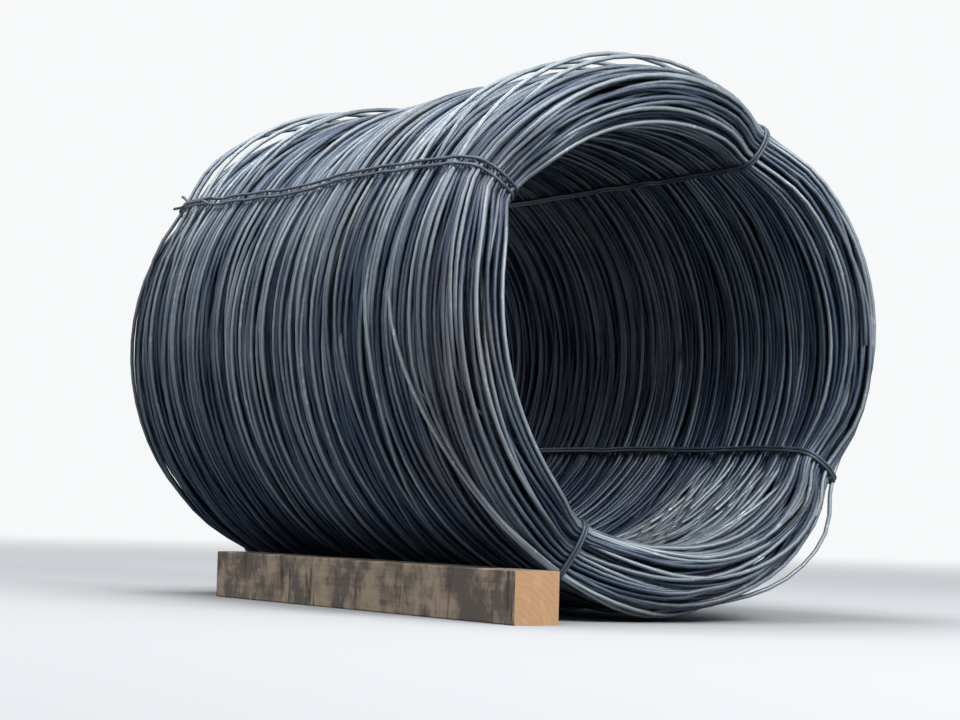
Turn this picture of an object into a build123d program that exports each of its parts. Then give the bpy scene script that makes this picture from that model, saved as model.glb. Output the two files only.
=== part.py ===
from build123d import *

import math
import os

# Coil of hot-rolled wire rod lying on its side, held by four double tie wires, with a squared timber at its flank.
# Millimetres, +Z up. The coil's axis runs along Y at one outer radius above the floor, its front end faces -Y, and
# the origin lies on the floor below the middle of the coil. Angles round the coil are counted in degrees from +X
# towards +Z, as seen from the front.

# Coil: one length of rod laid down in overlapping turns, pressed together along its axis.
coil_outer_diameter = 1250.0
bore_diameter = 900.0
coil_length = 1550.0
rod_diameter = 10.0
barrel_rise = 20.0  # how much thicker the coil is at mid-length than at its ends
outer_edge_share = 0.48  # rounding of the ends towards the flank, as a share of the wall
bore_edge_share = 0.28  # rounding of the ends towards the bore, as a share of the wall
end_turn_spacing = 34.0  # along the rounded end, from one outstanding turn to the next

# Tie wires: each is one wire passed twice through the bore and twisted shut on the outside.
tie_wire_diameter = 7.0
tie_strand_spacing = 24.0  # between the two strands of a tie, centre to centre
tie_angles = {"upper_right": 57.0, "upper_left": 146.0, "lower_left": 242.0, "lower_right": 329.0}
tie_clearance = 0.2
twist_length = 90.0
twist_from_back_end = 150.0  # from the back end of the coil to the middle of the twist
tail_length = 60.0
tail_lift_angle = 28.0  # how far the two cut tails stand up from the flank, and apart

# Timber: sawn square, laid along the coil's left flank.
timber_side = 110.0
timber_length = 1250.0
timber_clearance = 0.2
timber_chamfer = 2.0

outer_radius = coil_outer_diameter / 2
bore_radius = bore_diameter / 2
wall = outer_radius - bore_radius
outer_edge_radius = outer_edge_share * wall
bore_edge_radius = bore_edge_share * wall
half_length = coil_length / 2
axis_height = outer_radius
groove_depth = rod_diameter / 2
barrel_radius = (half_length**2 + barrel_rise**2) / (2 * barrel_rise)
bed_depth = tie_wire_diameter + 2 * tie_clearance
bed_width = tie_strand_spacing + tie_wire_diameter + 2 * tie_clearance
strand_height = tie_clearance + tie_wire_diameter / 2
wire_sides = 6


def half_section(inner_radius):
    """The coil's smooth half section: X is the distance from the axis, Y the place along it."""
    edge = outer_radius - barrel_rise
    back, front = half_length, -half_length
    straight = Polyline((edge, back), (inner_radius, back), (inner_radius, front), (edge, front))
    section = make_face(straight + ThreePointArc((edge, front), (outer_radius, 0), (edge, back)))
    section = fillet(section.vertices().group_by(Axis.X)[-1], outer_edge_radius)
    return fillet(section.vertices().group_by(Axis.X)[0], bore_edge_radius)


def end_curve(section):
    """The curve of a half section over the back end, as a function of the share of its length from bore to flank."""
    curve = Wire(section.edges().sort_by(Axis.Y)[-3:])
    from_bore = (curve @ 0).X < (curve @ 1).X
    return lambda share: curve @ (share if from_bore else 1 - share)


def turns_on_end():
    """How many outstanding turns an end shows from the bore to the flank."""
    smooth = half_section(bore_radius)
    return max(3, round(Wire(smooth.edges().sort_by(Axis.Y)[-3:]).length / end_turn_spacing))


def end_outline():
    """Points over the back end: each turn stands out to the smooth curve, with a groove on either side of it."""
    smooth = half_section(bore_radius)
    turns = turns_on_end()
    crest = end_curve(smooth)
    groove = end_curve(offset(smooth, -groove_depth))
    points = [crest(0)]
    for turn in range(turns):
        points.append(crest((turn + 0.5) / turns))
        if turn < turns - 1:
            points.append(groove((turn + 1) / turns))
    return [*points, crest(1)]


def along_coil_axis(shape):
    """Carries a shape built about +Z through the origin to the coil's axis, its +Z end to the back of the coil."""
    return Pos(0, 0, axis_height) * Rot(X=-90) * shape


def tie_bed():
    """What a tie has pressed out of the bore: a bed as wide as its two strands and as deep as one wire."""
    left_over = half_section(bore_radius + bed_depth)
    wall_middle = (bore_radius + outer_radius) / 2
    mouth = bore_radius - bed_depth
    slab = Pos((mouth + wall_middle) / 2, 0) * Rectangle(wall_middle - mouth, 2 * coil_length)
    return extrude(Plane.XZ * (slab - left_over), bed_width / 2, both=True)


def make_coil():
    """The coil as one turned solid with its bore. The turns show on both ends, and the bore has the ties' beds."""
    back = end_outline()
    front = [(point.X, -point.Y) for point in reversed(back)]
    ends = Polyline(*front, *back)
    flank = ThreePointArc(back[-1], (outer_radius, 0), front[0])
    coil = revolve(Plane.XZ * make_face(ends + flank), Axis.Z)
    for angle in tie_angles.values():
        coil -= Rot(Z=-angle) * tie_bed()
    return along_coil_axis(coil)


def wire_section():
    """The tie wire's section, with few sides."""
    return RegularPolygon(tie_wire_diameter / 2, wire_sides)


def tie_route():
    """The line of a tie's strand round the wall: straight from one outstanding turn to the next, bowed on the flank."""
    turns = turns_on_end()
    crest = end_curve(half_section(bore_radius))
    shares = [0, *((turn + 0.5) / turns for turn in range(turns)), 1]
    back = [(max(crest(share).X, bore_radius + bed_depth), crest(share).Y) for share in shares]
    front = [(x, -y) for x, y in reversed(back)]
    flank = ThreePointArc(back[-1], (outer_radius, 0), front[0])
    touched = make_face(Polyline(*front, *back) + flank)
    return offset(touched, strand_height, kind=Kind.INTERSECTION).face().outer_wire()


def make_strand(beside):
    """One strand of a tie: a closed wire round the coil's wall, so far beside the plane through the axis."""
    route = Plane.XZ * tie_route()
    start = Plane(origin=route @ 0, z_dir=route % 0)
    return Pos(0, beside, 0) * sweep(start * wire_section(), path=route, transition=Transition.RIGHT)


def make_twist():
    """The twist that shuts a tie, lying on the flank between the strands, with two wires across and two cut tails."""
    place = half_length - twist_from_back_end
    slope = math.degrees(math.asin(place / barrel_radius))
    flank = Pos(outer_radius - barrel_radius, 0, 0) * Rot(Y=-slope) * Pos(X=barrel_radius)
    twist = extrude(RegularPolygon(tie_wire_diameter, 2 * wire_sides), twist_length / 2, both=True)
    twist = Pos(X=tie_clearance + tie_wire_diameter) * twist
    for end in (-1, 1):
        crossing = Rot(X=90) * extrude(wire_section(), tie_strand_spacing / 2, both=True)
        twist += Pos(strand_height, 0, end * twist_length / 3) * crossing
        lean = Rot(X=-end * tail_lift_angle) * Rot(Y=tail_lift_angle)
        tail = lean * extrude(wire_section(), tail_length)
        twist += Pos(tie_clearance + tie_wire_diameter, end * tie_wire_diameter / 4, twist_length / 4) * tail
    return flank * twist


def make_tie(angle):
    """A tie at this angle round the coil: two strands and the twist that joins them, as one solid."""
    half_spacing = tie_strand_spacing / 2
    tie = make_strand(-half_spacing) + make_strand(half_spacing) + make_twist()
    return along_coil_axis(Rot(Z=-angle) * tie)


def make_timber():
    """The squared timber on the floor, its upper inner edge at the coil's flank and its end level with the front."""
    reach = outer_radius + timber_clearance
    edge_x = timber_chamfer - math.sqrt(reach**2 - (axis_height - timber_side) ** 2)
    timber = Box(timber_side, timber_length, timber_side, align=(Align.MAX, Align.MIN, Align.MIN))
    timber = chamfer(timber.edges().filter_by(Axis.Y), timber_chamfer)
    return Pos(edge_x, -half_length, 0) * timber


os.makedirs("parts", exist_ok=True)
export_step(make_coil(), "parts/rod_coil.step")
for tie_name, tie_angle in tie_angles.items():
    export_step(make_tie(tie_angle), f"parts/tie_wire_{tie_name}.step")
export_step(make_timber(), "parts/chock_timber.step")
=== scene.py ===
"""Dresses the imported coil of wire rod: each turn of the rod, its ties, the timber, light and camera.

Metres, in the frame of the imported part: the coil's axis runs along Y, its front end faces -Y, and +Z is up.
"""

import logging
import math
from dataclasses import dataclass, field
from enum import Enum

import bpy
import numpy as np
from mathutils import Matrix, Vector


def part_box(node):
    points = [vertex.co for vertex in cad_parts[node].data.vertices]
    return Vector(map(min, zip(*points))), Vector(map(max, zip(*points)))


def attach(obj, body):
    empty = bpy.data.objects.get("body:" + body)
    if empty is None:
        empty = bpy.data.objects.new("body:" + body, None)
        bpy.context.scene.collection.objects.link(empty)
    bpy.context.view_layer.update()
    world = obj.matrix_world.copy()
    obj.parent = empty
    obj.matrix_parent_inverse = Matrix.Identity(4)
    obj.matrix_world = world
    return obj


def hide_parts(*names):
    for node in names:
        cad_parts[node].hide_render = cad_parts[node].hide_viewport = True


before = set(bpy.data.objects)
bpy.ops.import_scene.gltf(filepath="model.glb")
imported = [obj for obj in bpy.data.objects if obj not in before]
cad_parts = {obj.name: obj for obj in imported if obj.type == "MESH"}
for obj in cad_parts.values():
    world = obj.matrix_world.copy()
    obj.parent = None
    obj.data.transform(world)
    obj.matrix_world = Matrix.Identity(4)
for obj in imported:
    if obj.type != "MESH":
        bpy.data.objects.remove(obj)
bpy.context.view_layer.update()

log = logging.getLogger("coil")

BORE_RADIUS = 0.450
ROD_DIAMETER = 0.010
TIE_DIAMETER = 0.007
STRAND_SPACING = 0.0078
OPEN_STRAND_SPACING = 0.018
TURN = 2 * math.pi

Array = np.ndarray


class Slot(Enum):
    """The record's material slots."""

    ROD = "rod_steel"
    TIE = "tie_steel"
    TIMBER = "sawn_timber"


class Tie(Enum):
    """The tie wires, each with its angle round the coil in degrees from +X towards +Z."""

    UPPER_RIGHT = 57.0
    UPPER_LEFT = 146.0
    LOWER_LEFT = 242.0
    LOWER_RIGHT = 329.0

    @property
    def node(self) -> str:
        """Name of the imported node."""
        return f"tie_wire_{self.name.lower()}"

    @property
    def angle(self) -> float:
        """Angle round the coil in radians."""
        return math.radians(self.value)

    @property
    def spacing(self) -> float:
        """How far apart the tie's two strands lie, centre to centre."""
        return OPEN_STRAND_SPACING if self is Tie.UPPER_LEFT else STRAND_SPACING


# Number helpers


def wander(length: int, period: float, seed: int) -> Array:
    """Smooth random walk between -1 and 1: random knots one period apart, joined by cosine easing.

    Args:
        length: Number of samples.
        period: Samples from one knot to the next.
        seed: Seed of the random knots.

    Returns:
        Array of samples.
    """
    knots = np.random.default_rng(seed).uniform(-1, 1, int(length / period) + 3)
    place = np.arange(length) / period
    left = place.astype(int)
    ease = (1 - np.cos((place - left) * np.pi)) / 2
    return knots[left] * (1 - ease) + knots[left + 1] * ease


def ease_between(value: Array, low: float, high: float) -> Array:
    """Smooth step from 0 at low to 1 at high."""
    share = np.clip((value - low) / (high - low), 0, 1)
    return share * share * (3 - 2 * share)


def angle_between(first: Array, second: float) -> Array:
    """Signed differences between angles in radians, wrapped to half a turn either way."""
    return (first - second + math.pi) % TURN - math.pi


def bell(angle: Array, centre: float, width: float) -> Array:
    """Bell curve over angles: e to the power of minus the square of the distance over the width."""
    return np.exp(-((angle_between(angle, centre) / width) ** 2))


def hump(share: Array) -> Array:
    """Smooth hump, 1 at 0 and 0 from 1 on: the square of the cosine of as many quarter turns."""
    return np.cos(np.clip(share, -1, 1) * math.pi / 2) ** 2


def early(share: Array) -> Array:
    """Share that grows early: 1 less the cube of what is missing."""
    return 1 - (1 - share) ** 3


def ray(angle: Array) -> Array:
    """Unit vectors at angles, one a row: their cosines and sines."""
    return np.stack([np.cos(angle), np.sin(angle)], axis=-1)


def unit(vectors: Array) -> Array:
    """Vectors, one a row, divided by their lengths."""
    return vectors / np.maximum(np.linalg.norm(vectors, axis=-1, keepdims=True), 1e-12)


# Meshes


@dataclass
class Surface:
    """A mesh in arrays: points, four-sided faces, a UV for each face corner and a tone for each point."""

    points: Array
    quads: Array
    uvs: Array
    tone: Array

    def join(self, other: "Surface") -> "Surface":
        """Both surfaces as one."""
        mine = self.points, self.quads, self.uvs, self.tone
        added = other.points, other.quads + len(self.points), other.uvs, other.tone
        return Surface(*map(np.concatenate, zip(mine, added)))

    def to_object(self, name: str, material: bpy.types.Material, smooth: bool = True) -> bpy.types.Object:
        """Puts the arrays into a new mesh object at the origin.

        Args:
            name: Name of the object and its mesh.
            material: Finish of every face.
            smooth: Whether faces are shaded smooth.

        Returns:
            The object.
        """
        mesh = bpy.data.meshes.new(name)
        count = len(self.quads)
        mesh.vertices.add(len(self.points))
        mesh.vertices.foreach_set("co", self.points.astype(np.float32).ravel())
        mesh.loops.add(4 * count)
        mesh.loops.foreach_set("vertex_index", self.quads.astype(np.int32).ravel())
        mesh.polygons.add(count)
        mesh.polygons.foreach_set("loop_start", np.arange(0, 4 * count, 4, dtype=np.int32))
        mesh.polygons.foreach_set("use_smooth", np.full(count, smooth))
        mesh.uv_layers.new(name="UVMap").data.foreach_set("uv", self.uvs.astype(np.float32).ravel())
        tones = mesh.attributes.new("tone", "FLOAT", "POINT").data
        tones.foreach_set("value", self.tone.astype(np.float32))
        mesh.update(calc_edges=True)
        mesh.validate()
        mesh.materials.append(material)
        return add_object(name, mesh)


def add_object(name: str, data: bpy.types.ID) -> bpy.types.Object:
    """Adds an object to the scene, at the origin, and returns it."""
    piece = bpy.data.objects.new(name, data)
    bpy.context.scene.collection.objects.link(piece)
    return piece


def grid_surface(grid: Array, tone: Array, along: Array, closed: bool = False) -> Surface:
    """Surface over a grid of points: a quad between each two rows and each two neighbours in the rings.

    Args: grid: Points, shape (rows, ring, 3), each row a closed ring that runs so that the faces look
    outward. tone: One tone for each row. along: Place of each row along the surface, for the UV; one more
    than the rows where closed. closed: Whether the last row joins the first.

    Returns:
        The surface, with no ends.
    """
    rows, ring = grid.shape[:2]
    spans = rows if closed else rows - 1
    row = np.arange(spans)[:, None]
    column = np.arange(ring)[None, :]
    here, following, beside = row * ring, (row + 1) % rows * ring, (column + 1) % ring
    quads = np.stack([here + column, here + beside, following + beside, following + column], axis=-1)
    low, high = along[:-1][:spans, None] + 0 * column, along[1:][:spans, None] + 0 * column
    left, right = column / ring + 0 * row, (column + 1) / ring + 0 * row
    corners = ((low, left), (low, right), (high, right), (high, left))
    uvs = np.stack([np.stack(corner, axis=-1) for corner in corners], axis=2)
    return Surface(grid.reshape(-1, 3), quads.reshape(-1, 4), uvs.reshape(-1, 2), np.repeat(tone, ring))


def tube(
    path: Array,
    outward: Array,
    diameter: float,
    sides: int,
    tone: Array,
    closed: bool = False,
) -> Surface:
    """Round bar along a path: a circle square to the path's direction, carried from point to point.

    Each point's circle is spanned by the part of `outward` square to the path and by the cross product of
    the two. An open tube ends in rings a hundredth as wide, which shut it.

    Args:
        path: Centre line, one point a row.
        outward: Rough direction away from the coil's middle, one a row.
        diameter: Bar diameter.
        sides: Corners of the section.
        tone: Tone of each point.
        closed: Whether the path's end joins its start.

    Returns:
        The surface.
    """
    ahead = np.roll(path, -1, axis=0) - np.roll(path, 1, axis=0) if closed else np.gradient(path, axis=0)
    ahead = unit(ahead)
    first = unit(outward - ahead * np.sum(outward * ahead, axis=1, keepdims=True))
    second = np.cross(ahead, first)
    turn = np.arange(sides) * TURN / sides
    circle = np.cos(turn)[None, :, None] * first[:, None] + np.sin(turn)[None, :, None] * second[:, None]
    radius = np.full(len(path), diameter / 2)
    if not closed:
        rows = (path, circle, tone, radius)
        path, circle, tone, radius = (np.concatenate([row[:1], row, row[-1:]]) for row in rows)
        radius[[0, -1]] /= 100
    steps = np.linalg.norm(np.diff(path, axis=0), axis=1)
    along = np.concatenate([[0], np.cumsum(steps)])
    if closed:
        along = np.append(along, along[-1] + np.linalg.norm(path[0] - path[-1]))
    return grid_surface(path[:, None] + circle * radius[:, None, None], tone, along, closed)


# Shader maths


class Expr:
    """A shader socket that can stand in Python maths: every operator adds one Math node."""

    def __init__(self, tree: "Tree", socket: bpy.types.NodeSocket) -> None:
        """Keeps an output socket and the tree that it belongs to."""
        self.tree = tree
        self.socket = socket

    def math(self, operation: str, *others: "Expr | float") -> "Expr":
        """Result of a Math node that has this socket first and the others after it."""
        return self.tree.node("ShaderNodeMath", {"operation": operation}, [self, *others])

    def __add__(self, other: "Expr | float") -> "Expr":
        """This value plus another."""
        return self.math("ADD", other)

    def __sub__(self, other: "Expr | float") -> "Expr":
        """This value less another."""
        return self.math("SUBTRACT", other)

    def __rsub__(self, other: float) -> "Expr":
        """A number less this value."""
        return self.tree.node("ShaderNodeMath", {"operation": "SUBTRACT"}, [other, self])

    def __mul__(self, other: "Expr | float") -> "Expr":
        """This value times another."""
        return self.math("MULTIPLY", other)

    # A sum and a product read the same from either side.
    __radd__, __rmul__ = __add__, __mul__

    def step(self, low: float, high: float) -> "Expr":
        """Smooth step from 0 at low to 1 at high."""
        settings = {"interpolation_type": "SMOOTHSTEP"}
        return self.tree.node("ShaderNodeMapRange", settings, [self, low, high, 0.0, 1.0])


class Tree:
    """A node tree with one method that adds any node."""

    def __init__(self, tree: bpy.types.NodeTree) -> None:
        """Keeps the node tree of a material or of the world, and empties it."""
        self.tree = tree
        self.tree.nodes.clear()

    def node(
        self,
        kind: str,
        settings: dict | None = None,
        inputs: dict | list | None = None,
        out: str | int = 0,
    ) -> Expr | None:
        """Adds a node: its settings first, then the values or links of its sockets.

        Args:
            kind: Node type.
            settings: Attributes of the node.
            inputs: Values or expressions by socket, or in order.
            out: Output socket to return.

        Returns:
            The chosen output, or None where the node has no outputs.
        """
        node = self.tree.nodes.new(kind)
        for name, value in (settings or {}).items():
            setattr(node, name, value)
        pairs = enumerate(inputs) if isinstance(inputs, list) else (inputs or {}).items()
        for key, value in pairs:
            socket = node.inputs[key]
            if isinstance(value, Expr):
                self.tree.links.new(value.socket, socket)
            else:
                socket.default_value = value
        return Expr(self, node.outputs[out]) if node.outputs else None

    def mix(self, share: "Expr | float", low: "Expr | tuple", high: "Expr | tuple") -> Expr:
        """Colour between low and high, with this share of high."""
        inputs = {0: share, 6: colour(low), 7: colour(high)}
        return self.node("ShaderNodeMix", {"data_type": "RGBA"}, inputs, 2)

    def place(self, stretch: tuple[float, float, float] = (1, 1, 1)) -> Expr:
        """Object coordinates, each axis times its stretch."""
        spot = self.node("ShaderNodeTexCoord", out="Object")
        return self.node("ShaderNodeVectorMath", {"operation": "MULTIPLY"}, [spot, stretch])

    def noise(self, vector: Expr, scale: float, detail: float = 3.0, rough: float = 0.5) -> Expr:
        """Noise between 0 and 1, with `detail` octaves and the finer ones weighted by `rough`."""
        inputs = {"Vector": vector, "Scale": scale, "Detail": detail, "Roughness": rough}
        return self.node("ShaderNodeTexNoise", {}, inputs)

    def tone(self) -> Expr:
        """The mesh's tone."""
        return self.node("ShaderNodeAttribute", {"attribute_name": "tone"}, out="Fac")

    def shown(self) -> Expr:
        """1 where a ray shows the studio, straight or in a reflection, and 0 where it lights something."""
        kinds = ("Is Camera Ray", "Is Glossy Ray", "Is Transmission Ray")
        camera, glossy, through = (self.node("ShaderNodeLightPath", out=kind) for kind in kinds)
        return camera.math("MAXIMUM", glossy).math("MAXIMUM", through)

    def bump(self, height: Expr, distance: float, strength: float) -> Expr:
        """Normal from a height between 0 and 1, where 1 is `distance` metres."""
        inputs = {"Strength": strength, "Distance": distance, "Height": height}
        return self.node("ShaderNodeBump", {}, inputs)

    def principled(self, **inputs: "Expr | float | tuple") -> None:
        """Ends the tree in a Principled shader; socket names have underscores for spaces."""
        named = {key.replace("_", " "): value for key, value in inputs.items()}
        shader = self.node("ShaderNodeBsdfPrincipled", {}, named)
        self.node("ShaderNodeOutputMaterial", {}, {"Surface": shader})


def colour(value: "Expr | tuple") -> "Expr | tuple":
    """A colour of three numbers with its alpha of 1, or an expression as it is."""
    return value if isinstance(value, Expr) else (*value, 1.0)


def new_material(name: str) -> tuple[bpy.types.Material, Tree]:
    """A new material of this name, and its empty tree."""
    material = bpy.data.materials.new(name)
    material.use_nodes = True
    return material, Tree(material.node_tree)


# Finishes


@dataclass(frozen=True)
class RodFinish:
    """Blue-grey mill scale, from dark to pale with the rod's tone, which holds painted light and shade; pale
    grey rub marks, partly wear and partly painted highlight; clouds of brown bloom.
    """

    # Ends of the scale colour: the dark end also serves as painted shade, the pale end as painted light.
    dark_scale_and_shade: tuple = (0.022, 0.037, 0.068)
    pale_scale_and_light: tuple = (0.212, 0.246, 0.272)
    # Rub colour, partly wear and partly painted highlight.
    rub_and_highlight: tuple = (0.46, 0.50, 0.52)
    bloom: tuple = (0.13, 0.085, 0.07)

    def build(self) -> bpy.types.Material:
        """Makes the material.

        The scale goes from dark to pale with the rod's tone, which holds painted light and shade, and with
        patches and grain. Pale grey rub marks lie in spots where the tone is high, partly as wear and partly
        as painted highlight, and broad clouds of brown lie over all.

        Returns:
            The material.
        """
        material, tree = new_material("rod_mill_scale")
        place = tree.place()
        tone = tree.tone()
        patches = tree.noise(place, 9.0, 4.0, 0.6)
        grain = tree.noise(place, 160.0, 2.0)
        # Painted light and shade: the tone pales the scale where light is painted and darkens it where shade
        # is painted.
        pale = (tone * 0.75 + patches * 0.5 + grain * 0.25 - 0.25).step(0.1, 0.85)
        # Rub marks where the tone is high: partly wear, partly painted highlight.
        wear_and_highlight = tree.noise(place, 38.0, 5.0, 0.65).step(0.56, 0.72) * tone.step(0.3, 0.9)
        brown = tree.noise(place, 2.6, 3.0).step(0.55, 0.75) * grain.step(0.35, 0.6)
        shade = tree.mix(pale, self.dark_scale_and_shade, self.pale_scale_and_light)
        shade = tree.mix(wear_and_highlight * 0.7, shade, self.rub_and_highlight)
        shade = tree.mix(brown * 0.45, shade, self.bloom)
        rough = 0.40 + grain * 0.16 + patches * 0.1 - wear_and_highlight * 0.08
        fine = tree.bump(grain, 0.0003, 0.2)
        tree.principled(Base_Color=shade, Metallic=0.55, Roughness=rough, Normal=fine, IOR=1.5)
        return material


@dataclass(frozen=True)
class TieFinish:
    """Dark annealed wire."""

    dark: tuple = (0.050, 0.064, 0.085)
    pale: tuple = (0.120, 0.142, 0.168)

    def build(self) -> bpy.types.Material:
        """Makes the material.

        Returns:
            The material.
        """
        material, tree = new_material("tie_annealed")
        patches = tree.noise(tree.place(), 26.0, 4.0, 0.6)
        shade = tree.mix(patches.step(0.45, 0.8), self.dark, self.pale)
        tree.principled(Base_Color=shade, Metallic=0.25, Roughness=0.42 + patches * 0.15)
        return material


@dataclass(frozen=True)
class TimberFinish:
    """Weathered grey-brown sides with dark stains across the grain, and fresh orange cut ends."""

    grey: tuple = (0.46, 0.345, 0.235)
    brown: tuple = (0.14, 0.11, 0.088)
    stain: tuple = (0.045, 0.034, 0.028)
    fresh: tuple = (0.51, 0.305, 0.155)
    fresh_dark: tuple = (0.37, 0.195, 0.09)
    from_pith: tuple = (0.47, 0.0, 0.03)

    def build(self) -> bpy.types.Material:
        """Makes the material.

        The sides go from brown to grey with blotches and fibres, under stains across the grain and brown
        bands along it. The ends, where the tone is 1, are fresh wood with faint rings round the pith.

        Returns:
            The material.
        """
        material, tree = new_material("timber_sawn")
        cut = tree.tone()
        fibres = tree.noise(tree.place((1, 0.06, 1)), 90.0, 3.0, 0.6)
        bands = tree.noise(tree.place((1, 0.12, 1)), 26.0, 3.0)
        blotches = tree.noise(tree.place((0.4, 1, 0.7)), 13.0, 4.0, 0.65)
        side = tree.mix((blotches * 0.85 + fibres * 0.15).step(0.42, 0.60), self.brown, self.grey)
        marks = tree.noise(tree.place((0.12, 1, 0.12)), 19.0, 3.0, 0.7).step(0.54, 0.64)
        drops = tree.noise(tree.place((1, 1, 0.6)), 34.0, 3.0).step(0.35, 0.6)
        side = tree.mix(marks * (0.35 + drops * 0.6), side, self.stain)
        side = tree.mix(bands.step(0.55, 0.8) * 0.3, side, self.brown)
        round_pith = tree.node("ShaderNodeVectorMath", {"operation": "ADD"}, [tree.place(), self.from_pith])
        rings = tree.node(
            "ShaderNodeTexWave",
            {"wave_type": "RINGS", "rings_direction": "Y"},
            {"Vector": round_pith, "Scale": 24.0, "Distortion": 1.2, "Detail": 2.0, "Detail Scale": 1.0},
        )
        darker = rings.step(0.2, 1.0) * 0.18 + drops.step(0.2, 0.9) * 0.25 + bands * 0.2
        end = tree.mix(darker, self.fresh, self.fresh_dark)
        shade = tree.mix(cut, side, end)
        height = fibres * 0.7 + bands * 0.3
        tree.principled(Base_Color=shade, Roughness=0.78, Normal=tree.bump(height, 0.0015, 0.6))
        return material

# The coil


@dataclass(frozen=True)
class Swell:
    """A smooth rise or hollow of the flank: a bell curve round an angle. Angle and width in degrees."""

    depth: float
    angle: float
    width: float

    def at(self, angle: Array) -> Array:
        """How far the flank moves at these angles."""
        return self.depth * bell(angle, math.radians(self.angle), math.radians(self.width))


@dataclass(frozen=True)
class CoilShape:
    """The envelope of the coil, and how ties, weight and handling have pressed it out of shape."""

    outer: float
    bore: float
    half_length: float
    # As laid: fall to the ends, waist, loose turns over the flank, rounding of the ends.
    barrel_rise: float = 0.020
    waist_depth: float = 0.014
    waist_place: float = 0.12
    waist_width: float = 0.2
    loose_layer: float = 0.0015
    outer_edge: float = 0.084
    bore_edge: float = 0.049
    edge_fullness: float = 0.97
    # Ties pinch the wall, its rims and layers, draw in the ends and gather the turns beside them. A grip is
    # the pinch's share; the rest goes to the gathering.
    pinch_width: float = math.radians(9)
    gather_width: float = math.radians(24)
    pinch_wall: float = 0.03
    pinch_rim: float = 0.12
    rim_power: int = 5
    rim_grip: float = 0.6
    layer_limit: float = 1.02
    layer_power: int = 8
    layer_grip: float = 0.75
    flatten: float = 0.14
    pinch_end: float = 0.050
    gather_end: float = 0.035
    # Belly: how the front turns come forward at the lower left tie.
    belly_width: float = math.radians(32)
    belly_gather: float = 0.38
    belly_depth: float = 0.55
    belly_outside: float = 0.35
    # Handling and weight.
    lean: float = 0.062
    lean_start: float = -0.2
    slump: Swell = Swell(depth=0.012, angle=102, width=38)
    rest: Swell = Swell(depth=0.0042, angle=272, width=17)

    def wall(self, along: Array) -> tuple[Array, Array]:
        """Middle and half thickness of the wall at places along the coil.

        The flank is a parabola less a bell curve at the waist. Towards each end, flank and bore turn into
        nearly full quarters of a circle.

        Args:
            along: Places along the axis, from -half_length to half_length.

        Returns:
            Radius of the wall's middle and half its thickness, to the rod's own centre line.
        """
        from_end = np.clip(self.half_length - np.abs(along), 0, None)
        outer = self.outer + self.loose_layer - self.barrel_rise * (along / self.half_length) ** 2
        outer = outer - self.waist_depth * np.exp(-(((along - self.waist_place) / self.waist_width) ** 2))
        outer_drop = np.clip(1 - from_end / self.outer_edge, 0, 1)
        bore_drop = np.clip(1 - from_end / self.bore_edge, 0, 1)
        outer = outer - self.outer_edge * (1 - np.sqrt(1 - outer_drop**2 * self.edge_fullness))
        bore = self.bore + self.bore_edge * (1 - np.sqrt(1 - bore_drop**2 * self.edge_fullness))
        outer, bore = outer - ROD_DIAMETER / 2, bore + ROD_DIAMETER / 2
        return (outer + bore) / 2, (outer - bore) / 2

    def near_ties(self, angle: Array, width: float) -> Array:
        """How near angles are to the ties: the sum of a bell curve round each."""
        return sum(bell(angle, tie.angle, width) for tie in Tie)

    def press(self, angle: Array, radius: Array, along: Array, lift: Array) -> Array:
        """Points of the pressed coil in the row frame.

        Bell curves round the ties thin the wall and draw in the ends, mostly at the rims, and layers beyond a
        soft limit are pushed in. The flank sinks at the slump and swells at the rest. Round the lower left
        tie the front turns come forward by a share of their depth, and the front end leans back with height.

        Args:
            angle: Angles round the coil.
            radius: Distances from the axis.
            along: Places along the axis.
            lift: How far stretches stand off the bundle.

        Returns:
            Points, one a row.
        """
        grip = self.near_ties(angle, self.pinch_width)
        gather = self.near_ties(angle, self.gather_width)
        share = along / self.half_length
        rim = np.abs(share) ** self.rim_power
        middle, half = self.wall(along)
        inside = ease_between(middle - radius, 0, self.outer - self.bore) * 2
        at_rim = self.rim_grip * grip + (1 - self.rim_grip) * gather
        squeeze = self.pinch_wall * grip + self.pinch_rim * rim * at_rim
        limit = self.layer_limit - self.flatten * (self.layer_grip * grip + (1 - self.layer_grip) * gather)
        place = (radius - middle) / half
        place = place / (1 + np.abs(place / limit) ** self.layer_power) ** (1 / self.layer_power)
        radius = middle + half * place * (1 - squeeze) + lift
        radius = radius - self.slump.at(angle) + self.rest.at(angle)
        from_front = along + self.half_length
        drift = bell(angle, Tie.LOWER_LEFT.angle, self.belly_width) * self.belly_gather
        drift = drift * (self.belly_outside + (1 - self.belly_outside) * inside)
        drift = drift * (1 - ease_between(from_front, 0, self.belly_depth))
        along = along - from_front * drift
        along = along - share * rim * (self.pinch_end * grip + self.gather_end * gather)
        frontness = ease_between(-share, self.lean_start, 1.0)
        along = along + frontness * self.lean * (1 + np.sin(angle)) / 2
        return np.stack([radius * np.cos(angle), along, self.outer + radius * np.sin(angle)], axis=-1)

    def outward(self, angle: Array) -> Array:
        """Unit vectors away from the axis at these angles, one a row."""
        return np.stack([np.cos(angle), 0 * angle, np.sin(angle)], axis=-1)


@dataclass(frozen=True)
class Winding:
    """How the loops lie off centre, in shares of the wall's half thickness, and how they are pushed apart."""

    turns_per_round: float = 6.0
    rate_change: float = 0.9
    reach: float = 0.79
    unevenness: float = 0.09
    sway: float = 0.011
    held_by_ties: float = 0.7
    rounds: int = 160
    neighbours: int = 12
    push_share: float = 0.7
    smooth_reach: int = 6
    smooth_width: float = 2.5


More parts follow.
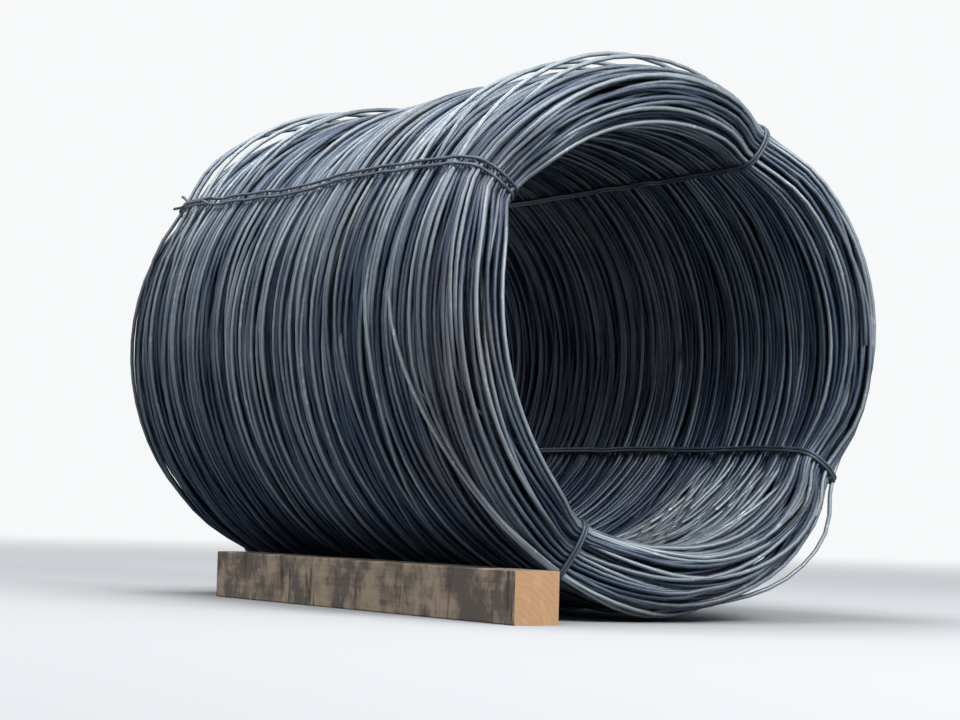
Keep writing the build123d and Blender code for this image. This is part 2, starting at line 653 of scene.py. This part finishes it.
@dataclass(frozen=True)
class Fan:
    """The loose front turns between the two lower ties, of which some are drawn over the others as a fan."""

    seed: int = 8
    # Loose turns: where they start in front of mid-length, shift along the axis, ripple into the bore.
    zone: tuple = (0.10, 0.50)
    shift: float = 0.052
    ripple: float = 0.020
    ripple_power: float = 1.5
    # Drawn turns: their share, and their greatest depth behind the front end at the lower right tie.
    share: float = 0.23
    depth: float = 0.45
    # Depth at the lower left tie: the foremost, and a range filled by two weights.
    foremost: float = 0.02
    gathered: float = 0.16
    by_depth: float = 0.4
    by_chance: float = 0.3
    # How far from that tie they gather: before it, and after it as a share of the way between the ties.
    before_tie: float = math.radians(50)
    after_tie: tuple = (0.72, 0.28)
    # How far they rise into the bore, and where they pass through the wall at that tie.
    rise: float = 0.052
    rise_least: float = 0.05
    rise_power: float = 1.7
    through: tuple = (0.05, 0.55)


@dataclass(frozen=True)
class Shading:
    """Weights of the rod's tone, which is random drift plus painted light and painted shade, and the shares
    taken off them.
    """

    # Base tone and random drift along the rod.
    usual: float = 0.54
    slow: float = 0.12
    quick: float = 0.40
    # Painted light: front rim, mouth of the bore, fan, and turns that stand off the bundle.
    front: float = 0.16
    mouth_light: float = 0.10
    in_fan: float = 0.26
    lifted_highlight: float = 0.3
    # Painted shade: deep in the bundle, inside the bore, and on the underside.
    deep: float = 0.46
    bore_shade: float = 0.25
    low: float = 0.36
    # Less random drift inside the bore where shade is painted, less painted shade at the bore's top, and the
    # lift that gives the full painted highlight.
    calm_inside: float = 0.6
    lit_from_above: float = 0.8
    full_lift: float = 0.008


@dataclass(frozen=True)
class Stray:
    """A stretch of one turn that stands off the bundle: where, over what spread of angle, and how far."""

    along: float
    angle: float
    spread: float
    lift: float
    forward: float = 0.0


# Angles in degrees, the rest in metres.
STRAYS = (
    Stray(0.50, 112, 66, 0.022),
    Stray(0.57, 116, 60, 0.032),
    Stray(0.63, 122, 58, 0.028),
    Stray(0.68, 126, 50, 0.022),
    Stray(0.43, 100, 52, 0.017),
    Stray(0.36, 108, 44, 0.014),
    Stray(-0.46, 116, 42, 0.018),
    Stray(-0.52, 112, 48, 0.022),
    Stray(-0.60, 106, 50, 0.028),
    Stray(-0.66, 88, 40, 0.020),
    Stray(-0.70, 96, 36, 0.014),
    Stray(-0.70, 312, 30, 0.034, 0.040),
    Stray(-0.46, 238, 88, 0.014, 0.250),
    Stray(-0.52, 240, 70, 0.010, 0.190),
    Stray(-0.60, 242, 66, 0.013, 0.130),
    Stray(-0.40, 196, 36, 0.010, 0.060),
    Stray(-0.30, 212, 40, 0.006, 0.060),
)


@dataclass
class RodCoil:
    """The one length of rod: loops laid off centre, their centre wandering round, and pressed together."""

    shape: CoilShape
    finish: RodFinish = RodFinish()
    winding: Winding = Winding()
    fan: Fan = Fan()
    shading: Shading = Shading()
    turns: int = 880
    steps: int = 72
    sides: int = 6
    pieces: int = 5
    angle: Array = field(init=False)
    radius: Array = field(init=False)
    along: Array = field(init=False)
    lift: Array = field(init=False)
    in_fan: Array = field(init=False)
    mouth_light: Array = field(init=False)
    points: Array = field(init=False)

    def drift(self, turns: float, seed: int) -> Array:
        """Smooth random change along the rod, with a knot every so many turns."""
        return wander(len(self.angle), turns * self.steps, seed)

    def within(self, along: Array) -> Array:
        """Places along the axis, held between the coil's ends."""
        limit = self.shape.half_length - ROD_DIAMETER / 2
        return np.clip(along, -limit, limit)

    def column(self, angle: float) -> int:
        """Which of a turn's points lies nearest to an angle."""
        return round(angle / TURN * self.steps)

    def lay(self) -> None:
        """Lays the loops along the coil, as many to a length as the wall there is thick.

        The radius swings about the wall's middle by the cosine of the angle less a phase, which runs on at a
        changing rate, so the loops' centre wanders round. The places along the axis sway, less near the ties.
        """
        shape, winding = self.shape, self.winding
        turn = np.arange(self.turns * self.steps + 1) / self.steps
        self.angle = turn * TURN
        rate = (1 + winding.rate_change * self.drift(turns=5, seed=1)) / winding.turns_per_round
        phase = TURN * np.cumsum(rate) / self.steps
        places = np.linspace(-shape.half_length, shape.half_length, 801)
        thickness = shape.wall(places)[1]
        filled = np.concatenate([[0], np.cumsum((thickness[1:] + thickness[:-1]) / 2)])
        along = np.interp(turn / self.turns, filled / filled[-1], places)
        middle, half = shape.wall(along)
        free = 1 - winding.held_by_ties * shape.near_ties(self.angle, shape.gather_width)
        self.along = self.within(along + winding.sway * free * self.drift(turns=0.42, seed=7))
        reach = winding.reach + (1 - winding.reach) * self.drift(turns=1.1, seed=2)
        swing = reach * np.cos(self.angle - phase) + winding.unevenness * self.drift(turns=0.25, seed=3)
        self.radius = middle + half * np.clip(swing, -1, 1)

    def settle(self) -> None:
        """Pushes turns that overlap apart along the axis, in the order in which they were laid.

        At each angle a turn and a later one have to be as far apart along the axis as two round rods that
        touch at their radii. Each round shares the shortfall out to both and smooths it along the rod by a
        bell curve.
        """
        winding = self.winding
        ahead = np.arange(-winding.smooth_reach, winding.smooth_reach + 1)
        kernel = np.exp(-((ahead / winding.smooth_width) ** 2))
        kernel = kernel / kernel.sum()
        for _ in range(winding.rounds):
            push = np.zeros_like(self.along)
            hits = np.ones_like(self.along)
            for later in range(1, winding.neighbours + 1):
                shift = later * self.steps
                apart = np.abs(self.radius[shift:] - self.radius[:-shift])
                needed = np.sqrt(np.clip(ROD_DIAMETER**2 - apart**2, 0, None))
                short = np.where(apart < ROD_DIAMETER, needed - (self.along[shift:] - self.along[:-shift]), 0)
                short = np.clip(short, 0, ROD_DIAMETER) / 2
                push[shift:] += short
                push[:-shift] -= short
                hits[shift:] += short > 0
                hits[:-shift] += short > 0
            push = np.convolve(push / hits**0.5, kernel, mode="same")
            self.along = self.within(self.along + winding.push_share * push)

    def loosen_fan(self) -> None:
        """Loosens the front turns between the lower ties, and draws some of them over the others as a fan.

        Each loose turn is shifted along the axis, by the square of a sine of the way between the ties. The
        drawn turns leave the lower right tie on the bore's side and come forward to the lower left tie by
        squared cosines of the angle from it, where they share the wall's thickness. On the way they cut the
        curve of the bore short by the sine.
        """
        fan, shape = self.fan, self.shape
        generator = np.random.default_rng(fan.seed)
        number = (self.angle / TURN).astype(int)
        shift, rise, jitter, through = generator.uniform(-1, 1, (4, self.turns + 1))
        drawn = generator.uniform(0, 1, self.turns + 1) < fan.share
        first, last = Tie.LOWER_LEFT.angle, Tie.LOWER_RIGHT.angle
        chord = np.sin(np.clip((self.angle % TURN - first) / (last - first), 0, 1) * math.pi)
        front = ease_between(-self.along, *fan.zone)
        self.along = self.within(self.along + fan.shift * shift[number] * chord**2 * front)
        crossing = np.arange(self.turns + 1) * self.steps + self.column(last)
        crossing = np.clip(crossing, 0, len(self.angle) - 1)
        inside = self.radius[crossing] < shape.wall(self.along[crossing])[0]
        depth = self.along[crossing] + shape.half_length
        chosen = (drawn & inside & (depth < fan.depth))[number]
        order = fan.by_depth * depth / fan.depth + fan.by_chance * (jitter + 1)
        goal = fan.foremost + fan.gathered * order - shape.half_length
        past = angle_between(self.angle, first)
        after = (last - first) * (fan.after_tie[0] + fan.after_tie[1] * rise[number])
        gathered = hump(past / np.where(past < 0, fan.before_tie, after)) * chosen
        stretched = chord * chosen
        either = np.maximum(gathered, stretched)
        self.along = self.along * (1 - gathered) + goal[number] * gathered
        middle, half = shape.wall(self.along)
        laid = early(either)
        self.radius = self.radius * (1 - laid) + (middle - half) * laid
        entered = fan.through[0] + fan.through[1] * (through[number] + 1)
        self.radius = self.radius + half * entered * gathered**3
        self.lift = -fan.rise * (fan.rise_least + ((rise[number] + 1) / 2) ** fan.rise_power) * stretched
        self.lift = self.lift - fan.ripple * ((through[number] + 1) / 2) ** fan.ripple_power * chord * front
        # Mask of the fan, which the tone paints paler as painted light and spares from painted shade.
        self.in_fan = np.where(past > 0, either, gathered)
        # Mask of the bore's mouth between the lower ties, where the tone paints light in.
        self.mouth_light = chord**0.6 * (1 - ease_between(self.along + shape.half_length, 0.12, 0.60))

    def lift_strays(self) -> None:
        """Lifts the turn nearest to each stray's place off the bundle, over the stray's spread of angle.

        Misses of 50 mm along the axis and of a quarter of the half thickness inward count alike.
        """
        for stray in STRAYS:
            crossings = np.arange(self.column(math.radians(stray.angle)), len(self.angle), self.steps)
            middle, half = self.shape.wall(self.along[crossings])
            outside = (self.radius[crossings] - middle) / half
            beside = np.abs(self.along[crossings] - stray.along)
            miss = beside / 0.05 + np.abs(1 - outside) / 0.25
            chosen = crossings[np.argmin(miss)]
            offset = (np.arange(len(self.angle)) - chosen) / self.steps * 360
            bump = hump(offset / stray.spread)
            moved = self.along - stray.forward * bump
            drawn = early(bump)
            self.radius = self.radius * (1 - drawn) + sum(self.shape.wall(moved)) * drawn
            self.lift = np.where(bump > 0, np.maximum(self.lift, stray.lift * bump), self.lift)
            self.along = moved

    def tone(self) -> Array:
        """Tone of the rod along its length.

        It drifts slowly along the rod and quickly from turn to turn. On top of that, light and shade are
        painted in:
        the front rim, the mouth of the bore, the fan and turns that stand off the bundle are painted paler,
        and what lies deep in the bundle, the bore's side and the underside are painted darker as shade.

        Returns:
            Values between 0 and 1.
        """
        shading, half_length = self.shading, self.shape.half_length
        slow, quick = self.drift(turns=6.1, seed=5), self.drift(turns=0.8, seed=6)
        middle, half = self.shape.wall(self.along)
        place = (self.radius - middle) / half
        sin = np.sin(self.angle)
        # Masks for painted light on the front rim, and for painted shade deep in the bundle, on the bore's
        # side and on the underside, away from the front, fan and mouth.
        front = ease_between(-self.along, half_length - 0.12, half_length - 0.03)
        deep = 1 - ease_between(np.abs(place), 0.66, 0.92)
        inner = ease_between(-place, 0.2, 0.8)
        shown = np.maximum(np.maximum(front, self.in_fan), self.mouth_light)
        low = ease_between(-sin, 0.1, 0.85) * (1 - shown) * (1 - inner)
        # Random drift, calmed inside the bore where shade is painted and stronger in the mouth where light is
        # painted.
        changing = shading.slow * slow + shading.quick * quick
        changing = changing * (1 - shading.calm_inside * inner * (1 - shown)) * (1 + self.mouth_light)
        # Painted light: paler on the front rim, in the mouth of the bore, on the fan and on turns that stand
        # off the bundle.
        lit = shading.usual + changing + shading.front * front
        lit = lit + shading.mouth_light * self.mouth_light + shading.in_fan * self.in_fan
        lit = lit + shading.lifted_highlight * np.clip(self.lift / shading.full_lift, 0, 1)
        # Painted shade: darker inside the bore, less so at its top, deep in the bundle and on the underside.
        bore_shade = inner * (1 - shown) * (1 - shading.lit_from_above * np.clip(sin, 0, 1))
        shaded = shading.deep * deep * (1 - self.in_fan) + shading.bore_shade * bore_shade + shading.low * low
        return np.clip(lit - shaded, 0, 1)

    def build(self) -> None:
        """Lays, settles, loosens and presses the rod, and makes it in meshes that follow on from another."""
        self.lay()
        self.settle()
        self.loosen_fan()
        self.lift_strays()
        self.points = self.shape.press(self.angle, self.radius, self.along, self.lift)
        outward = self.shape.outward(self.angle)
        # The tone holds the rod's random drift and its painted light and shade.
        tone = self.tone()
        material = self.finish.build()
        cuts = np.linspace(0, len(self.points) - 1, self.pieces + 1).astype(int)
        for number, (start, end) in enumerate(zip(cuts[:-1], cuts[1:]), 1):
            part = slice(start, end + 1)
            surface = tube(self.points[part], outward[part], ROD_DIAMETER, self.sides, tone[part])
            piece = surface.to_object(f"wire_rod_{number}", material)
            dress(piece, "rod_coil")

    def section(self, angle: float) -> Array:
        """Where the rod crosses the half plane at an angle.

        Args:
            angle: Angle round the coil.

        Returns:
            Distances from the axis and places along it, one crossing a row.
        """
        column, share = divmod(angle / TURN * self.steps, 1)
        before = self.points[int(column) : -1 : self.steps]
        spots = before + share * (self.points[int(column) + 1 :: self.steps] - before)
        return np.stack([np.hypot(spots[:, 0], spots[:, 2] - self.shape.outer), spots[:, 1]], axis=-1)


@dataclass
class TieWire:
    """A tie: two strands round the wall, drawn tight over the turns that stand out, and twisted shut."""

    tie: Tie
    coil: RodCoil
    material: bpy.types.Material
    samples: int = 420
    sides: int = 8
    sink_share: float = 0.9
    sink_limit: float = 0.03
    sink_reach: int = 4
    twist_length: float = 0.150
    twist_place: float = 0.130
    twist_samples: int = 90
    twist_turns: float = 3.5
    twist_height: float = 0.6
    tail_spread: float = 0.016
    tail_lift: float = 0.012
    away: Array = field(init=False)
    around: Array = field(init=False)
    line: Array = field(init=False)

    def __post_init__(self) -> None:
        """Finds the directions away from the axis and round the coil, and the line that the wires follow."""
        cos, sin = math.cos(self.tie.angle), math.sin(self.tie.angle)
        self.away, self.around = np.array([cos, 0, sin]), np.array([-sin, 0, cos])
        self.line = self.hull(self.coil.section(self.tie.angle))

    def place(self, height: Array, along: Array, beside: Array | float) -> Array:
        """Points at heights over the axis, places along it and distances beside the tie's plane."""
        point = np.array([0, 0, self.coil.shape.outer]) + np.outer(height, self.away)
        return point + np.outer(along, [0, 1, 0]) + np.outer(beside, self.around)

    def wire(self, path: Array, outward: Array, closed: bool = False) -> Surface:
        """Wire along a path, its section turned towards one direction."""
        rows = len(path)
        return tube(path, np.tile(outward, (rows, 1)), TIE_DIAMETER, self.sides, np.full(rows, 0.5), closed)

    def hull(self, spots: Array) -> Array:
        """The tight line round the section: for each direction the outermost turn, moved out by both radii.

        It is cut into even steps, sinks into the hollows and is smoothed over five points.

        Args:
            spots: Where the rod crosses the section.

        Returns:
            Distances from the axis and places along it, one a row, anticlockwise.
        """
        ways = ray(np.arange(self.samples) * TURN / self.samples)
        tight = spots[np.argmax(ways @ spots.T, axis=1)] + ways * (ROD_DIAMETER + TIE_DIAMETER) / 2
        steps = np.linalg.norm(np.diff(tight, axis=0, append=tight[:1]), axis=1)
        walked = np.concatenate([[0], np.cumsum(steps)])
        even = np.linspace(0, walked[-1], self.samples, endpoint=False)
        loop = np.concatenate([tight, tight[:1]])
        path = np.stack([np.interp(even, walked, loop[:, axis]) for axis in (0, 1)], axis=-1)
        path = path + self.sink(path, spots)
        return (np.roll(path, 2, axis=0) + np.roll(path, -2, axis=0) + 2 * path) / 4

    def sink(self, path: Array, spots: Array) -> Array:
        """How the tie gives way where it spans a hollow between the turns.

        Each point may move square to the line until it meets a turn. It moves by a share of the least that
        its neighbours may, smoothed along the line.

        Args:
            path: Points of the tight line, anticlockwise.
            spots: Where the rod crosses the section.

        Returns:
            Moves, one a row.
        """
        ahead = unit(np.roll(path, -1, axis=0) - np.roll(path, 1, axis=0))
        inward = np.stack([-ahead[:, 1], ahead[:, 0]], axis=-1)
        gap = spots[None] - path[:, None]
        deep = np.sum(gap * inward[:, None], axis=-1)
        beside = np.sum(gap * ahead[:, None], axis=-1)
        touch = (ROD_DIAMETER + TIE_DIAMETER) / 2
        room = deep - np.sqrt(np.clip(touch**2 - beside**2, 0, None))
        free = np.where(np.abs(beside) < touch, room, self.sink_limit)
        free = np.clip(free.min(axis=1), 0, self.sink_limit)
        nearby = range(-self.sink_reach, self.sink_reach + 1)
        least = np.min([np.roll(free, shift) for shift in nearby], axis=0)
        smooth = np.mean([np.roll(least, shift) for shift in nearby], axis=0)
        return inward * smooth[:, None] * self.sink_share

    def strand(self, side: int) -> Surface:
        """The closed wire on one side of the tie's plane, -1 or 1."""
        path = self.place(self.line[:, 0], self.line[:, 1], side * self.tie.spacing / 2)
        return self.wire(path, self.around, closed=True)

    def twist_wire(self, half_turn: float) -> Surface:
        """One of the two ends twisted round each other on the flank, its cut tail standing off.

        The wire winds round a line along the flank. Its distance from the line narrows from half the
        strands' spacing to the wire's own radius, and widens again over the tail, which also rises.

        Args:
            half_turn: Phase of the wire round the line.

        Returns:
            The tube.
        """
        shape = self.coil.shape
        share = np.linspace(0, 1, self.twist_samples)
        wind = TURN * self.twist_turns * ease_between(share, 0.1, 0.75) + half_turn
        narrow = ease_between(share, 0, 0.15)
        wide = ease_between(share, 0.72, 1.0)
        spread = self.tie.spacing / 2 * (1 - narrow) + TIE_DIAMETER / 2 * narrow + self.tail_spread * wide
        along = shape.half_length - self.twist_place - self.twist_length + share * self.twist_length
        flank = self.line[self.line[:, 0] > shape.wall(np.zeros(1))[0]]
        flank = flank[np.argsort(flank[:, 1])]
        height = np.interp(along, flank[:, 1], flank[:, 0]) + TIE_DIAMETER / 2 + self.tail_lift * wide**2
        height = height + spread * np.abs(np.sin(wind)) * self.twist_height
        return self.wire(self.place(height, along, spread * np.cos(wind)), self.away)

    def build(self) -> None:
        """Makes the tie: two strands and the two wires of its twist."""
        surface = self.strand(-1).join(self.strand(1)).join(self.twist_wire(0)).join(self.twist_wire(math.pi))
        piece = surface.to_object(f"tie_{self.tie.name.lower()}", self.material)
        dress(piece, self.tie.node)


@dataclass
class Timber:
    """The squared timber: a square with worn arrises carried along its length, and two sawn ends."""

    low: Vector
    high: Vector
    finish: TimberFinish = TimberFinish()
    arris: float = 0.003
    arris_steps: int = 6
    rows: int = 60
    wear: float = 0.004
    wear_period: float = 7.0
    end_shares: tuple = (1.0, 0.7, 0.35, 0.001)

    def outline(self) -> Array:
        """The section's outline: the four corners drawn in by the arris, each with a quarter circle round it.

        Returns:
            Points (x, z) round the middle, anticlockwise as seen from the front.
        """
        half = (self.high.x - self.low.x) / 2
        quarter = np.repeat(np.arange(4), self.arris_steps) * math.pi / 2
        turn = quarter + np.tile(np.linspace(0, math.pi / 2, self.arris_steps), 4)
        corner = ray(quarter + math.pi / 4) * math.sqrt(2)
        return corner * (half - self.arris) + ray(turn) * self.arris

    def end(self, ring: Array, side: int) -> Surface:
        """A sawn end: the ring drawn in to its middle in three steps.

        Args:
            ring: Points of the outline.
            side: -1 for the front end, 1 for the back.

        Returns:
            The surface, marked as freshly cut by its tone of 1.
        """
        middle = ring.mean(axis=0)
        shares = np.array(self.end_shares)
        grid = middle + (ring - middle)[None] * shares[:, None, None]
        return grid_surface(grid[:, ::side], np.ones(len(shares)), shares)

    def build(self) -> None:
        """Makes the timber, its outline worn a little unevenly along the length."""
        middle = np.array([(self.low.x + self.high.x) / 2, (self.low.z + self.high.z) / 2])
        along = np.linspace(self.low.y, self.high.y, self.rows)
        outline = self.outline()
        uneven = wander(self.rows * len(outline), self.wear_period, seed=11).reshape(self.rows, -1, 1)
        section = middle + outline[None] * (1 - self.wear * (1 + uneven) / 2)
        grid = np.stack([section[..., 0], along[:, None] + 0 * section[..., 0], section[..., 1]], axis=-1)
        sides = grid_surface(grid[:, ::-1], np.zeros(self.rows), along)
        surface = sides.join(self.end(grid[0], -1)).join(self.end(grid[-1], 1))
        piece = surface.to_object("timber", self.finish.build(), smooth=False)
        dress(piece, "chock_timber")


def dress(piece: bpy.types.Object, node: str) -> None:
    """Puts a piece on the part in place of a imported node.

    Args:
        piece: The new piece.
        node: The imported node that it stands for.
    """
    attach(piece, "root")
    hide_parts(node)
    log.info("%s: %d faces for %s", piece.name, len(piece.data.polygons), node)


# Studio


@dataclass(frozen=True)
class Studio:
    """Pale floor, white backdrop, soft light from above, and the camera at the photograph's viewing angle."""

    eye: tuple = (-3.235, -4.658, 0.237)
    target: tuple = (-0.03, 0.0, 0.585)
    lens: float = 89.0
    roll: float = math.radians(1.6)
    backdrop: tuple = (0.93, 0.94, 0.95)
    floor: tuple = (0.36, 0.365, 0.37)
    floor_bounce: tuple = (0.07, 0.08, 0.095)
    floor_fade: tuple = (2.2, 9.0)
    floor_reach: float = 60.0
    sky_low: tuple = (0.11, 0.16, 0.25)
    sky_high: tuple = (1.12, 1.17, 1.24)
    sky_back: tuple = (0.03, 0.04, 0.06)
    sky_strength: float = 0.95
    key: tuple = ("key", (0.6, -5.4, 4.0), 2.6, 420.0)
    top: tuple = ("top", (-1.6, 0.6, 6.0), 3.5, 460.0)

    def build(self) -> None:
        """Makes floor, world, lights and camera."""
        self.make_floor()
        self.make_world()
        for lamp in (self.key, self.top):
            self.make_light(*lamp)
        self.make_camera()

    def make_floor(self) -> None:
        """A wide plane that fades into the backdrop with distance, and throws less light up than it shows."""
        material, tree = new_material("studio_floor")
        spot = tree.node("ShaderNodeTexCoord", out="Object")
        distance = tree.node("ShaderNodeVectorMath", {"operation": "LENGTH"}, [spot], "Value")
        seen = tree.mix(tree.shown(), self.floor_bounce, self.floor)
        matt = tree.node("ShaderNodeBsdfDiffuse", {}, {"Color": seen})
        glow = tree.node("ShaderNodeEmission", {}, {"Color": colour(self.backdrop)})
        shader = tree.node("ShaderNodeMixShader", {}, [distance.step(*self.floor_fade), matt, glow])
        tree.node("ShaderNodeOutputMaterial", {}, {"Surface": shader})
        reach = self.floor_reach
        mesh = bpy.data.meshes.new("studio_floor")
        corners = [(-reach, -reach, 0), (reach, -reach, 0), (reach, reach, 0), (-reach, reach, 0)]
        mesh.from_pydata(corners, [], [(0, 1, 2, 3)])
        mesh.materials.append(material)
        plane = add_object("studio_floor", mesh)

    def make_world(self) -> None:
        """The plain backdrop for what looks at it, and for the light an overcast sky, brighter overhead.

        The sky goes from dark to bright with height, and darkens again towards the back.
        """
        world = bpy.data.worlds.new("studio")
        bpy.context.scene.world = world
        world.use_nodes = True
        tree = Tree(world.node_tree)
        way = tree.node("ShaderNodeTexCoord", out="Generated")
        height = tree.node("ShaderNodeSeparateXYZ", {}, [way], "Z")
        ahead = tree.node("ShaderNodeSeparateXYZ", {}, [way], "Y")
        sky = tree.mix(height.step(0.05, 0.85), self.sky_low, self.sky_high)
        sky = tree.mix(ahead.step(-0.2, 0.8) * 0.45, sky, self.sky_back)
        light = tree.node("ShaderNodeBackground", {}, {"Color": sky, "Strength": self.sky_strength})
        plain = tree.node("ShaderNodeBackground", {}, {"Color": colour(self.backdrop), "Strength": 1.0})
        shader = tree.node("ShaderNodeMixShader", {}, [tree.shown(), light, plain])
        tree.node("ShaderNodeOutputWorld", {}, {"Surface": shader})

    def make_light(self, name: str, place: tuple, side: float, power: float) -> None:
        """Hangs a soft square light that looks at the coil; power in watts."""
        light = bpy.data.lights.new(name, "AREA")
        light.size, light.energy = side, power
        self.aim(add_object(name, light), place)

    def make_camera(self) -> None:
        """The camera stands where the photographer stood and aims at the coil with a longer lens."""
        camera = bpy.data.cameras.new("camera")
        camera.lens, camera.sensor_width = self.lens, 36.0
        holder = add_object("camera", camera)
        self.aim(holder, self.eye)
        holder.rotation_euler.rotate_axis("Z", self.roll)
        bpy.context.scene.camera = holder
        bpy.context.scene.view_settings.view_transform = "Standard"

    def aim(self, holder: bpy.types.Object, place: tuple) -> None:
        """Puts a light or the camera in its place and turns it to the target."""
        holder.location = place
        holder.rotation_euler = (Vector(self.target) - Vector(place)).to_track_quat("-Z", "Y").to_euler()


def main() -> None:
    """Builds the coil, its ties, the timber and the studio, in that order."""
    logging.basicConfig(level=logging.INFO, format="%(name)s %(message)s")
    low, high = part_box("rod_coil")
    shape = CoilShape(outer=(high[0] - low[0]) / 2, bore=BORE_RADIUS, half_length=(high[1] - low[1]) / 2)
    coil = RodCoil(shape)
    coil.build()
    tie_material = TieFinish().build()
    for tie in Tie:
        TieWire(tie, coil, tie_material).build()
    timber_low, timber_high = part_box("chock_timber")
    Timber(Vector(timber_low), Vector(timber_high)).build()
    Studio().build()


if __name__ == "__main__":
    main()
